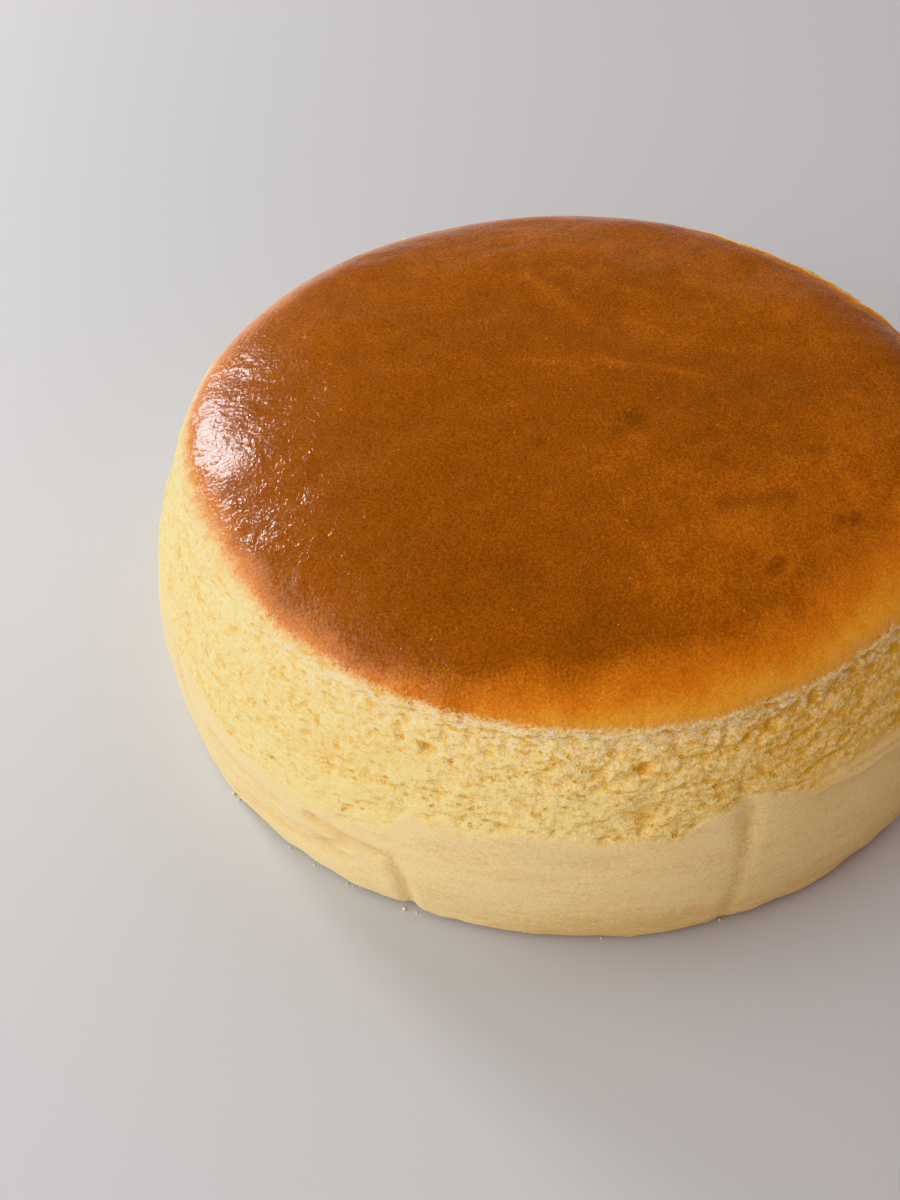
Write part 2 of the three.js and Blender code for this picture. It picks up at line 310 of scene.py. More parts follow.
class Profile:
    """The cake's outline: a bezier side up to the shoulder, then a superellipse crown."""

    def __init__(self, shape):
        self.base = shape.base_radius / MM
        self.foot = shape.foot_rounding / MM
        self.belly = shape.belly_reach / MM
        self.shoulder = shape.shoulder_radius / MM
        self.shoulder_height = shape.shoulder_height / MM
        self.top = shape.height / MM
        self.power = shape.crown_power

    def radius(self, height):
        """Radius at a height, from the foot to the top."""
        t = np.clip(height / self.shoulder_height, 0, 1)
        bulge = 2 * t * (1 - t) * (self.base + self.belly)
        side = (1 - t) ** 2 * self.base + bulge + t**2 * self.shoulder
        tucked = np.clip(1 - height / self.foot, 0, 1)
        side = side - self.foot * (1 - np.sqrt(1 - tucked**2))
        side = side - FOOT_GAP_DEPTH * np.clip(1 - height / FOOT_GAP, 0, 1)
        up = (height - self.shoulder_height) / (self.top - self.shoulder_height)
        up = np.clip(up, 0, 1)
        crown = self.shoulder * (1 - up**self.power) ** (1 / self.power)
        return np.where(height > self.shoulder_height, crown, side)

    def underside(self):
        """Radius of the flat underside."""
        return self.radius(np.array(0.0))

    def rise(self, radius):
        """Height of the crown at a radius."""
        out = np.clip(radius / self.shoulder, 0, 1)
        part = (1 - out**self.power) ** (1 / self.power)
        return self.shoulder_height + (self.top - self.shoulder_height) * part

    def lean(self, height):
        """How fast the radius grows with height on the side."""
        slope = (self.radius(height + 0.1) - self.radius(np.maximum(height - 0.1, 0))) / 0.2
        return np.where(height < self.foot, 0, slope)


def smooth(x, low, high):
    """0 below low, 1 above high and an eased step between them."""
    t = np.clip((x - low) / (high - low), 0, 1)
    return t * t * (3 - 2 * t)


def turn(a, b):
    """Degrees from b to a, the short way round."""
    return (a - b + 180) % 360 - 180


def within(azimuth, stretch):
    """1 in the full part of a stretch round the cake, down to 0 where it ends."""
    middle, full, end = stretch
    return smooth(-np.abs(turn(azimuth, middle)), -end, -full)


def along_line(line, azimuth):
    """Value of a closed line at an azimuth, eased from point to point."""
    turns, values = (np.array(part, float) for part in zip(*line, line[0]))
    turns[-1] += 360
    at = turns[0] + (azimuth - turns[0]) % 360
    step = np.interp(at, turns, np.arange(len(turns)))
    first = np.floor(step)
    return np.interp(first + smooth(step - first, 0, 1), np.arange(len(turns)), values)


def ragged(azimuth, shift):
    """An uneven edge: waves whose counts round the cake share no factor."""
    angle = np.radians(azimuth)
    waves = (
        np.sin(count * angle + shift * (i + 1)) / (1 + i / 2)
        for i, count in enumerate(RAGGED_COUNTS)
    )
    return sum(waves) / 2


def clouds(points):
    """Soft noise from -1 to 1 at each point."""
    return np.array([noise.noise(point) for point in points.tolist()])


def bubbles(points):
    """Open bubbles, scattered: 0 between them and up to 1 in the few deep ones."""
    depths = []
    for point in points.tolist():
        (near, far, _, _), (centre, *_) = noise.voronoi(point)
        deep = max(noise.cell(centre * 5.3) - 0.45, 0) / 0.55
        depths.append(math.sqrt(min(1.6 * (far - near), 1)) * deep)
    return np.array(depths)


def bent(points, size, reach):
    """Points moved about by noise, so that patterns made on them lose their regularity."""
    shifts = [clouds(points / size + offset) for offset in (0, 31, 57)]
    return points + reach * np.column_stack(shifts)


def fine_edge(azimuth, shift):
    """Small tears along an edge, from -1 to 1."""
    angle = np.radians(azimuth)
    ring = np.column_stack((np.sin(angle) * 55, np.cos(angle) * 55, np.full_like(angle, shift)))
    return clouds(ring) + 0.6 * clouds(ring * 2.3)


def to_path(path, azimuth, height, radius):
    """Distance in millimetres from points of the side to a path of (azimuth, height)."""
    start = path[0][0]
    first = turn(start, azimuth)
    flat = [(np.radians(first + a - start) * radius, h - height) for a, h in path]
    return segment_distance(flat)


def segment_distance(flat):
    """Distance from the origin to a run of points, each an (x, y) pair of arrays."""
    best = np.inf
    for (x0, y0), (x1, y1) in zip(flat, flat[1:]):
        dx, dy = x1 - x0, y1 - y0
        t = np.clip(-(x0 * dx + y0 * dy) / (dx * dx + dy * dy), 0, 1)
        best = np.minimum(best, np.hypot(x0 + t * dx, y0 + t * dy))
    return best


def seeded(seed):
    """A repeatable source of numbers from 0 to 1, the same as the solid's."""
    state = seed

    def draw():
        nonlocal state
        state = (state + 0x6D2B79F5) & 0xFFFFFFFF
        mixed = ((state ^ (state >> 15)) * (state | 1)) & 0xFFFFFFFF
        mixed ^= (mixed + (mixed ^ (mixed >> 7)) * (mixed | 61)) & 0xFFFFFFFF
        return (mixed ^ (mixed >> 14)) / 4294967296

    return draw


# ---------------------------------------------------------------- relief


def tear_height(azimuth):
    """Height of the line where the skin tore off."""
    return along_line(TEAR_LINE, azimuth) + TEAR_RAGGEDNESS * ragged(azimuth, 2.1)


def crust_height(azimuth):
    """Height of the crust's edge."""
    return along_line(CRUST_EDGE, azimuth) + CRUST_RAGGEDNESS * ragged(azimuth, 0.7)


def crust_tear(azimuth):
    """Height of the crust's edge with its small tears, larger where the sponge is rough."""
    tears = TORN_EDGE * (1 + within(azimuth, ROUGH_SIDE)) * fine_edge(azimuth, 9)
    return crust_height(azimuth) + tears


def carved(paths, azimuth, height, radius):
    """Depth of creases or grooves."""
    total = np.zeros_like(azimuth)
    for path, width, depth in paths:
        near = to_path(path, azimuth, height, radius) / width
        total += depth * np.exp(-near * near)
    return total


def roll(azimuth, height):
    """The sponge that sags over the skin, and the hollow under it."""
    above = height - tear_height(azimuth)
    out = ROLL_HEIGHT * np.tanh(above / 0.4) * np.exp(-np.abs(above) / ROLL_REACH)
    return sagging(azimuth) * out


def sagging(azimuth):
    """1 where the roll is full and 0 beside it."""
    start, full, fade, end = ROLL_WINDOW
    return smooth(azimuth, start, full) * (1 - smooth(azimuth, fade, end))


def drawn_pits(count):
    """The pits that the solid has too, as (azimuth, height, half width, half height, depth)."""
    draw = seeded(PIT_SEED)
    for _ in range(count):
        azimuth = np.array([-180 + 360 * draw()])
        low = tear_height(azimuth)[0] + 1.5
        high = crust_height(azimuth)[0] - 2
        height = low + (high - low) * draw()
        size = PIT_LEAST + (PIT_MOST - PIT_LEAST) * draw() ** 2
        yield azimuth[0], height, *(size * part for part in PIT_SHAPE)


def pitted(pits, azimuth, height, radius):
    """Depth of a list of pits."""
    total = np.zeros_like(azimuth)
    for middle, level, width, size, depth in pits:
        across = turn(azimuth, middle) * math.radians(1) * radius / width
        up = (height - level) / size
        total += depth * np.clip(1 - across**2 - up**2, 0, None)
    return total


def out_of_round(azimuth):
    """How far the whole cake leans out of round."""
    angle = np.radians(azimuth)
    return (
        0.35 * np.sin(2 * angle + 0.4) + 0.3 * np.sin(3 * angle) + 0.2 * np.sin(7 * angle)
    )


def placed(azimuth, radius, height):
    """Points at cylindrical coordinates."""
    angle = np.radians(azimuth)
    return np.column_stack((radius * np.sin(angle), -radius * np.cos(angle), height))


def moved_out(profile, azimuth, height, relief):
    """Points of the side, moved out along the profile's normal."""
    lean = profile.lean(height)
    out = relief / np.hypot(1, lean)
    radius = profile.radius(height) + out + out_of_round(azimuth)
    return placed(azimuth, radius, height - out * lean)


def skin_part(profile, azimuth, way):
    """The smooth skin, from the foot up to the tear, and what the material reads on it."""
    top = tear_height(azimuth) + TORN_EDGE * fine_edge(azimuth, 3)
    height = top * way
    on = placed(azimuth, profile.base, height)
    creases = carved(CREASES, azimuth, height, profile.base)
    foot = 1 - smooth(height, 0, 6)
    relief = roll(azimuth, height) - creases + foot * FOOT_UNEVENNESS * ragged(azimuth, 4.4)
    relief += foot * 0.35 * clouds(on / (3.5, 3.5, 6))
    relief += 0.25 * clouds(on / (22, 22, 9)) + 0.12 * clouds(on / (9, 9, 2.5) + 5)
    # Painted shade on the skin: darker towards the foot on the right and at the front, a painted
    # contact shadow along the bottom edge, and painted shade in the creases
    toast_and_shade = 0.45 * (1 - smooth(height, 2, 19)) * within(azimuth, FOOT_SHADE_SIDE)
    toast_and_shade += 0.4 * (1 - smooth(height, 7, 18)) * within(azimuth, FOOT_SHADE_FRONT)
    toast_and_shade += 0.8 * (1 - smooth(height, 0.3, 1.8))
    values = {"skin": np.ones_like(way), "hollow": toast_and_shade + 0.65 * np.clip(creases, 0, 1)}
    return moved_out(profile, azimuth, height, relief), values


def sponge_part(profile, shape, azimuth, way):
    """The torn sponge up to the crust's edge, and what the material reads on it."""
    low = tear_height(azimuth) + TORN_EDGE * fine_edge(azimuth, 3)
    high = crust_tear(azimuth)
    height = low + (high - low) * way
    on = placed(azimuth, profile.radius(height), height)
    coarse = 0.8 + 0.2 * smooth(turn(azimuth, 30), -75, -20)
    rough = within(azimuth, ROUGH_SIDE)
    below = high - height
    under_lip = LIP_HOLLOW * (1 - np.exp(-below / LIP_ROUNDING)) * np.exp(-below / LIP_REACH)
    foam = np.exp(-below / FOAM_REACH) * (0.25 + 0.75 * rough)
    torn = smooth(way + 0.03 * clouds(on / 4), 0, 0.3 - 0.22 * coarse)
    above = height - low + 1.2 * clouds(on / 5)
    flap = 0.85 * sagging(azimuth) * (1 - smooth(above, 3.5, 6.5))
    torn *= 1 - flap
    crags = clouds(on / (9, 9, 3.2)) + 0.5 * clouds(bent(on, 3, 0.6) / (2, 2, 1.1) + 7)
    crags += foam * clouds(bent(on, 3, 0.8) / (2.6, 2.6, 1.9) + 3)
    cells = bubbles(bent(on, 2.4, 0.8) / (2, 2, 1.2))
    cells = np.maximum(cells, 1.6 * foam * bubbles(bent(on, 3, 1) / (3.4, 3.4, 2.3) + 4))
    warped = bent(on, 3, 1.1)
    round_by = np.degrees(np.arctan2(warped[:, 0], -warped[:, 1]))
    pits = [(a, h, *(size * part for part in PROUD_PIT_SHAPE)) for a, h, size in PITS]
    pits += drawn_pits(shape.pit_count)
    holes = pitted(pits, round_by, warped[:, 2], profile.base)
    holes += 0.6 * carved(GROOVES, round_by, warped[:, 2], profile.base)
    cell_depth = shape.cell_depth / MM * coarse * (1 + 0.7 * foam)
    relief = roll(azimuth, height) - carved(CREASES, azimuth, height, profile.base)
    relief -= shape.lip_step / MM * (0.15 + 0.85 * rough) * under_lip
    relief -= torn * (SKIN_STEP - shape.crag_height / MM * coarse * crags)
    relief -= torn * (cell_depth * cells + holes)
    # Painted shade makes the sponge deeper yellow on its right side. At the back right, where the
    # sponge shows above the rim, the deeper yellow is painted glow of the back light through it.
    # Near the skin at the front the sponge is paler.
    side_tone_and_shade = 0.34 * within(azimuth, SHADED_SIDE)
    side_tone_and_shade += 0.55 * within(azimuth, BACK_RIGHT) * smooth(height, 60, 64)
    side_tone_and_shade -= 0.3 * within(azimuth, PALE_SIDE) * (1 - smooth(above, 8, 18))
    # Painted shade: deeper yellow in the bubbles, pits and grooves and under the sagging roll,
    # paler on the crags
    hollow = 0.4 * cells * coarse + 0.6 * holes - 0.15 * crags + side_tone_and_shade
    hollow = np.clip(torn * hollow + 0.35 * flap, -0.3, 1)
    values = {"hollow": hollow, "foam": foam, "torn": torn * coarse, "skin": 1 - torn}
    return moved_out(profile, azimuth, height, relief), values


def crown_part(profile, azimuth, way):
    """The crust over the crown, and what the material reads on it."""
    edge = profile.radius(crust_tear(azimuth))
    radius = edge * (1 - way)
    on = placed(azimuth, radius, 0 * radius)
    x, y = on[:, 0], on[:, 1]
    relief = np.zeros_like(x)
    for i, (wave, direction, height) in enumerate(CROWN_WAVES):
        angle = math.radians(direction)
        along = (x * math.cos(angle) + y * math.sin(angle)) / wave
        relief += height * np.sin(math.tau * along + i)
    hollow_x, hollow_y, reach, depth = CROWN_HOLLOW
    near = np.hypot(x - hollow_x, y - hollow_y) / reach
    relief -= depth * np.exp(-near * near)
    relief += 0.2 * clouds(on / (17, 11, 11)) + 0.13 * clouds(bent(on, 9, 3) / (8, 5, 5) + 11)
    brown = browning(azimuth, radius, edge)
    for path, width, height, darker in CROWN_MARKS:
        near = segment_distance([(px - x, py - y) for px, py in path]) / width
        mark = np.exp(-near * near)
        relief += MARK_RELIEF * height * mark
        # A mark that is less dark paints sheen on a raised streak; a darker one is browning
        brown += MARK_BROWNING_AND_SHEEN * darker * mark
    inward = smooth(edge - radius, 0, 12)
    lip = (1 - smooth(edge - radius, 0, 4)) * 0.25 * ragged(azimuth, 1.3)
    around = radius + lip + radius / np.maximum(edge, 1) * out_of_round(azimuth)
    fade = along_line(EDGE_FADE, azimuth)
    crust = smooth(edge - radius + fade * 0.25 * clouds(on / 2.5), 0, fade)
    behind = within(azimuth, BACK_RIGHT)
    film = smooth(edge - radius + 0.6 * clouds(on / 1.7), 0.2, 1.8 + 4.5 * behind)
    leather = smooth(radius, 40, 80) * within(azimuth, LEATHER_SIDE)
    foam = (1 - film) * (0.25 + 0.75 * within(azimuth, ROUGH_SIDE)) * (1 - behind)
    values = {
        "brown": brown, "crust": crust, "film": film, "leather": leather * film,
        "torn": np.maximum(1 - film, 0.6 * (1 - crust)), "foam": foam,
    }
    return placed(azimuth, around, profile.rise(radius) + relief * inward), values


def browning(azimuth, radius, edge):
    """How brown the crust is: 1 over most of the crown, less towards its edge."""
    on = placed(azimuth, radius, 0 * radius)
    inward = edge - radius + 1.6 * clouds(on / 9) + 1.1 * clouds(on / 3.5)
    out = np.clip(1 - inward / along_line(BROWN_REACH, azimuth), 0, 1)
    tone = along_line(RIM_TONE, azimuth)
    off_ring = (radius - RING_RADIUS) / RING_WIDTH
    ring = along_line(RING_TONE, azimuth) * np.exp(-(off_ring**2))
    return 1 + ring - (1 + ring - tone) * out ** along_line(PALING, azimuth)


# ---------------------------------------------------------------- meshes

STEPS = 264
FINE_WAYS = ((1, 3.22), (1.97, 3.02))  # stretches of the way whose cells are halved in turn
BASE_RADII = (0, 18, 36, 54, 70, 82, 90)
FOOT_HEIGHTS = (0, 0.35, 0.7, 1, 1.7, 2.6)
SKIN_ROWS = 11
SPONGE_ROWS = 13
CROWN_ROWS = 40
CROWN_EASE = 1.25
POLE_MERGE = 1e-6


def profile_rows(profile):
    """(way, radius, height) of each row, on the plain profile."""
    tear = np.mean([h for _, h in TEAR_LINE])
    crust = np.mean([h for _, h in CRUST_EDGE])
    rows = [(r / profile.underside(), r, 0) for r in BASE_RADII]
    skin = [*FOOT_HEIGHTS, *np.linspace(profile.foot * 1.4, tear, SKIN_ROWS)]
    rows += [(1 + h / tear, profile.radius(np.array(h)), h) for h in skin]
    for i in range(1, SPONGE_ROWS + 1):
        height = tear + (crust - tear) * i / SPONGE_ROWS
        rows.append((2 + i / SPONGE_ROWS, profile.radius(np.array(height)), height))
    edge = profile.radius(np.array(crust))
    for i in range(1, CROWN_ROWS + 1):
        way = (i / CROWN_ROWS) ** CROWN_EASE
        radius = edge * (1 - way)
        rows.append((3 + way, radius, profile.rise(np.array(radius))))
    return rows


def spun(bm, rows):
    """Spin the profile into a closed body, keeping each vertex's way along the profile."""
    way = bm.verts.layers.float.new("way")
    line = []
    for station, radius, height in rows:
        vert = bm.verts.new((float(radius) * MM, 0, float(height) * MM))
        vert[way] = station
        line.append(vert)
    edges = [bm.edges.new(pair) for pair in zip(line, line[1:])]
    bmesh.ops.spin(
        bm, geom=line + edges, axis=(0, 0, 1), angle=math.tau, steps=STEPS, use_merge=True
    )
    bmesh.ops.remove_doubles(bm, verts=bm.verts, dist=POLE_MERGE)


def finer(bm, low, high):
    """Halve the cells between two ways along the profile."""
    way = bm.verts.layers.float["way"]
    edges = [e for e in bm.edges if all(low <= v[way] <= high for v in e.verts)]
    bmesh.ops.subdivide_edges(bm, edges=edges, cuts=1, use_grid_fill=True)


def shaped(profile, shape, azimuth, way):
    """Places for every vertex, and what the material reads there."""
    points = placed(azimuth, way * profile.underside(), 0 * way)
    skin = (way >= 1) & (way <= 2)
    sponge = (way > 2) & (way < 3)
    crown = way >= 3
    values = {name: np.zeros_like(way) for name in VALUES}
    values["skin"][way < 1] = 1
    points[skin], smooth_side = skin_part(profile, azimuth[skin], way[skin] - 1)
    points[sponge], torn_side = sponge_part(profile, shape, azimuth[sponge], way[sponge] - 2)
    points[crown], baked = crown_part(profile, azimuth[crown], way[crown] - 3)
    for part, found in ((skin, smooth_side), (sponge, torn_side), (crown, baked)):
        for name, numbers in found.items():
            values[name][part] = numbers
    return points, values


def mould(mesh, profile, shape):
    """Move the vertices of the plain spun body to the cake's surface, by their ways."""
    co = np.empty(len(mesh.vertices) * 3)
    mesh.vertices.foreach_get("co", co)
    co = co.reshape(-1, 3)
    way = np.empty(len(co))
    mesh.attributes["way"].data.foreach_get("value", way)
    azimuth = np.degrees(np.arctan2(co[:, 0], -co[:, 1]))
    points, values = shaped(profile, shape, azimuth, way)
    mesh.vertices.foreach_set("co", (points * MM).ravel())
    for name, numbers in values.items():
        mesh.attributes.new(name, "FLOAT", "POINT").data.foreach_set("value", numbers)
    mesh.update()


def finished(name, bm, material):
    """Turn a bmesh into a smooth-shaded piece that rides with the cake."""
    mesh = bpy.data.meshes.new(name)
    bm.to_mesh(mesh)
    bm.free()
    mesh.shade_smooth()
    mesh.materials.append(material)
    piece = bpy.data.objects.new(name, mesh)
    bpy.context.scene.collection.objects.link(piece)
    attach(piece, BODY)
    return piece


# ---------------------------------------------------------------- shader nodes


class Value:
    """A node's output, so that maths on shader values reads as maths."""

    def __init__(self, graph, socket):
        self.graph = graph
        self.socket = socket

    def maths(self, operation, *values, clamp=False):
        settings = {"operation": operation, "use_clamp": clamp}
        return self.graph.node("ShaderNodeMath", settings, dict(enumerate(values)))

    def __add__(self, other):
        return self.maths("ADD", self, other)

    def __radd__(self, other):
        return self.maths("ADD", other, self)

    def __sub__(self, other):
        return self.maths("SUBTRACT", self, other)

    def __rsub__(self, other):
        return self.maths("SUBTRACT", other, self)

    def __mul__(self, other):
        return self.maths("MULTIPLY", self, other)

    def __rmul__(self, other):
        return self.maths("MULTIPLY", other, self)

    def clamped(self):
        """Held between 0 and 1."""
        return self.maths("ADD", self, 0, clamp=True)

    def step(self, low, high):
        """0 below low, 1 above high and an eased step between them."""
        settings = {"interpolation_type": "SMOOTHSTEP"}
        return self.graph.node("ShaderNodeMapRange", settings, {0: self, 1: low, 2: high})

    def mix(self, first, second, blend="MIX"):
        """The first colour where this is 0 and the second, or their blend, where it is 1."""
        settings = {"data_type": "RGBA", "blend_type": blend}
        return self.graph.node("ShaderNodeMix", settings, {0: self, 6: first, 7: second}, 2)

    def darken(self, shade, least):
        """A colour that is as little as the given part of itself where this is 1."""
        return self.clamped().mix(shade, (least, least, least, 1), "MULTIPLY")


class Graph:
    """Adds nodes to one material."""

    def __init__(self, material):
        self.tree = material.node_tree

    def node(self, kind, settings, inputs, output=0):
        """Add a node: its settings first, then its inputs as values or links."""
        made = self.tree.nodes.new(kind)
        for name, setting in settings.items():
            if name == "stops":
                self.fill_ramp(made.color_ramp, setting)
            else:
                setattr(made, name, setting)
        for key, value in inputs.items():
            if isinstance(value, Value):
                self.tree.links.new(value.socket, made.inputs[key])
            else:
                made.inputs[key].default_value = value
        return Value(self, made.outputs[output])

    def fill_ramp(self, ramp, stops):
        """Set a colour ramp's stops from (position, colour) pairs."""
        while len(ramp.elements) < len(stops):
            ramp.elements.new(1)
        for element, (position, shade) in zip(ramp.elements, stops):
            element.position = position
            element.color = (*shade, 1)

    def attribute(self, name):
        """A number stored on the piece's vertices."""
        return self.node("ShaderNodeAttribute", {"attribute_name": name}, {}, 2)

    def stretched(self, along, up):
        """Object coordinates with patterns longer along the side than up it, in metres."""
        coordinates = self.node("ShaderNodeTexCoord", {}, {}, 3)
        scale = (1 / along, 1 / along, 1 / up)
        return self.node("ShaderNodeMapping", {}, {"Vector": coordinates, "Scale": scale})

    def grain(self, along, up, detail=2, roughness=0.5):
        """Soft noise from 0 to 1 whose features have the given size."""
        inputs = {"Vector": self.stretched(along, up), "Scale": 1, "Detail": detail}
        return self.node("ShaderNodeTexNoise", {}, {**inputs, "Roughness": roughness})

    def bent(self, vector, reach):
        """A vector moved about by noise as large as its own unit."""
        drift = self.node("ShaderNodeTexNoise", {}, {"Vector": vector, "Scale": 0.8}, 1)
        settings = {"operation": "MULTIPLY_ADD"}
        return self.node("ShaderNodeVectorMath", settings, {0: drift, 1: (reach,) * 3, 2: vector})

    def cells(self, along, up, bend=0, output=0):
        """Distance to the nearest of scattered points or, as output 1, a chance for each."""
        vector = self.stretched(along, up)
        if bend:
            vector = self.bent(vector, bend)
        return self.node("ShaderNodeTexVoronoi", {}, {"Vector": vector, "Scale": 1}, output)

    def dots(self, spacing):
        """Tiny round dots: 1 in each dot and 0 between them."""
        return 1 - self.cells(spacing, spacing).step(0.03, 0.07)


def rgba(shade):
    """A colour property as four numbers."""
    return (*shade, 1)


# ---------------------------------------------------------------- materials


def new_material(name):
    """A material with a Principled shader of its own, and the graph that adds to it."""
    material = bpy.data.materials.new(name)
    material.use_nodes = True
    return material, Graph(material), material.node_tree.nodes["Principled BSDF"]


def link(graph, value, shader, socket):
    """Feed a value to one of the shader's sockets."""
    graph.tree.links.new(value.socket, shader.inputs[socket])


def sponge_crumb(graph):
    """The sponge's crumb from 0 in its creases to 1 on its clumps, and its few small pits."""
    clumps = 1 - graph.cells(0.0014, 0.001, 0.6)
    small = 1 - graph.cells(0.0007, 0.0005, 0.5)
    chance = graph.cells(0.0014, 0.001, 0.6, 1)
    return clumps * 0.45 + small * 0.55, clumps.step(0.45, 0.7) * chance.step(0.78, 0.88)


def sponge_colour(graph, finish, hollow, foam, torn, pits, crumb):
    """Torn sponge: pale on its proud crumbs, with painted highlights there, and deeper yellow
    with painted shade in its pits and creases.
    """
    patches = graph.grain(0.014, 0.005).step(0.35, 0.7)
    spots = graph.grain(0.0032, 0.0019, 2, 0.6).step(0.54, 0.7)
    contrast = torn * (3.7 - 2.2 * torn)
    # Painted shade in the pits and between the crumbs; the spots and patches are the sponge's own
    # uneven tone
    inside = hollow + contrast * (pits * 0.6 + spots * 0.24 - crumb) + patches * 0.2
    base = inside.clamped().mix(rgba(finish.sponge), rgba(finish.hollow))
    flecks = graph.grain(0.0016, 0.0009, 2, 0.6).step(0.52, 0.62)
    # The proud crumbs and the flecks of the broken foam take the pale ridge colour, partly the
    # crumbs' own paler colour and partly painted highlight
    dry_and_lit = crumb * (0.7 + foam * 1.6) + foam * 0.2 + (foam * 0.7 + 0.15) * flecks - 0.8 * pits
    return dry_and_lit.clamped().mix(base, rgba(finish.ridge))


def skin_colour(graph, finish, hollow):
    """Baked skin: cream with level streaks and small darker dents, with painted shade near the
    foot and in its creases.
    """
    mottle = graph.grain(0.02, 0.005, 4, 0.6).step(0.35, 0.75)
    streaks = graph.grain(0.009, 0.0016, 2, 0.6).step(0.52, 0.72)
    pores = graph.grain(0.0011, 0.0007, 3, 0.8) - 0.5
    shade = mottle * 0.4 + streaks * 0.3 + hollow + pores * 3 - 0.05
    return shade.clamped().mix(rgba(finish.skin), rgba(finish.skin_dark))


def crust_colour(graph, finish, brown):
    """Browned crust: a ramp from the pale edge to the dark brown of the crown."""
    slow = graph.grain(0.03, 0.03, 2) - 0.5
    middle = graph.grain(0.007, 0.005, 4, 0.65) - 0.5
    sand = graph.grain(0.0006, 0.0006, 3, 0.8) - 0.5
    tone = brown * 0.8 + slow * 0.12 + middle * (0.1 + 0.2 * brown) + sand * brown * 0.6
    stops = (
        (0.02, finish.pale), (0.22, finish.gold), (0.42, finish.orange), (0.75, finish.brown),
        (1.0, finish.dark),
    )
    stops = [(position, tuple(shade)) for position, shade in stops]
    baked = graph.node("ShaderNodeValToRGB", {"stops": stops}, {0: tone})
    return (sand * brown * 4 + graph.dots(0.005) * 0.8 + 0.3).darken(baked, 0.68)


def cake_material(finish):
    """One finish for the whole cake: skin, torn sponge and glossy crust."""
    material, graph, shader = new_material("baked_cheesecake")
    hollow, foam, brown, is_crust, is_skin, torn, film, leather = map(graph.attribute, VALUES)
    clumps, pits = sponge_crumb(graph)
    layers = graph.grain(0.004, 0.0011, 3, 0.65).step(0.5, 0.68)
    fine = graph.grain(0.0006, 0.0006, 2, 0.7) - 0.5
    broken = fine * 8 + (clumps - 0.5) * 2.5
    is_crust = (is_crust + broken * (1 - is_crust) * is_crust).clamped()

    relief = clumps - 0.47 - layers * 0.36
    side = sponge_colour(graph, finish, hollow, foam, torn, pits, relief)
    side = is_skin.mix(side, skin_colour(graph, finish, hollow))
    crust = crust_colour(graph, finish, brown)
    crust = (graph.dots(0.0042) * 0.45).mix(crust, rgba(finish.pale))
    link(graph, is_crust.mix(side, crust), shader, "Base Color")

    satin = graph.grain(0.006, 0.006, 2).step(0.42, 0.6)
    gloss = 0.15 - satin * 0.05 + fine * 0.1
    matte = 0.88 - 0.2 * is_skin
    link(graph, matte + (gloss - matte) * film, shader, "Roughness")
    link(graph, film * 0.1, shader, "Coat Weight")
    shader.inputs["Coat Roughness"].default_value = 0.5

    swell = graph.grain(0.005, 0.004, 2)
    dents = graph.grain(0.009, 0.006, 3, 0.6).step(0.3, 0.55)
    peel = graph.grain(0.0009, 0.0009, 2, 0.6) * (0.09 + 0.12 * brown)
    peel = (peel + fine * (0.06 + 0.08 * brown)) * (1 - leather * 0.72)
    wrinkles = graph.grain(0.0013, 0.0013, 2, 0.6)
    level = graph.grain(0.005, 0.0016, 3, 0.6)
    rough = torn * (clumps * 0.3 - pits * 0.3 - layers * 0.15)
    height = rough + film * (swell * 0.22 + dents * 0.14 + peel)
    breaks = graph.grain(0.0009, 0.0009, 2, 0.7).step(0.5, 0.66)
    height = height + leather * (wrinkles * 0.09 + breaks * 0.015)
    height = height + is_skin * (level * 0.18 + fine * 0.16)
    bump = {"Strength": 1, "Distance": MM, "Height": height}
    link(graph, graph.node("ShaderNodeBump", {}, bump), shader, "Normal")

    shader.inputs["Subsurface Weight"].default_value = 0.2
    shader.inputs["Subsurface Radius"].default_value = (1, 0.55, 0.2)
    shader.inputs["Subsurface Scale"].default_value = 0.002
    shader.inputs["Specular IOR Level"].default_value = 0.32
    return material


def crumb_material(finish):
    """Loose crumbs: dry sponge, a few of them browned."""
    material, graph, shader = new_material("loose_crumbs")
    toast_and_shade = graph.grain(0.01, 0.01, 1).step(0.6, 0.75)
    link(graph, toast_and_shade.mix(rgba(finish.ridge), rgba(finish.gold)), shader, "Base Color")
    fine = graph.grain(0.0006, 0.0006, 2)
    bump = graph.node("ShaderNodeBump", {}, {"Strength": 0.7, "Distance": 0.0005, "Height": fine})
    link(graph, bump, shader, "Normal")
    shader.inputs["Roughness"].default_value = 0.85
    return material


def floor_material(studio):
    """A plain pale surface."""
    material, _, shader = new_material("pale_floor")
    shader.inputs["Base Color"].default_value = rgba(studio.floor)
    shader.inputs["Roughness"].default_value = 0.55
    return material


# ---------------------------------------------------------------- operators

# Crumbs as (azimuth, height, radius), at the foot where the height is 0
CRUMBS = (
    (-50.5, 0, 0.45), (-49.2, 0, 0.3), (-38, 0, 0.3), (-33.5, 0, 0.25), (-28, 0, 0.25),
    (-27.2, 0, 0.2), (-19.5, 0, 0.4), (-17.8, 0, 0.25), (6, 0, 0.25), (21.5, 0, 0.3),
    (64, 0, 0.4), (103, 0, 0.3), (147, 0, 0.4), (-158, 0, 0.3), (-112, 0, 0.35),
    (-79, 0, 0.3), (-171, 63.5, 0.4), (-149, 64.2, 0.5), (-146.5, 64.6, 0.3), (158, 63, 0.4),
)
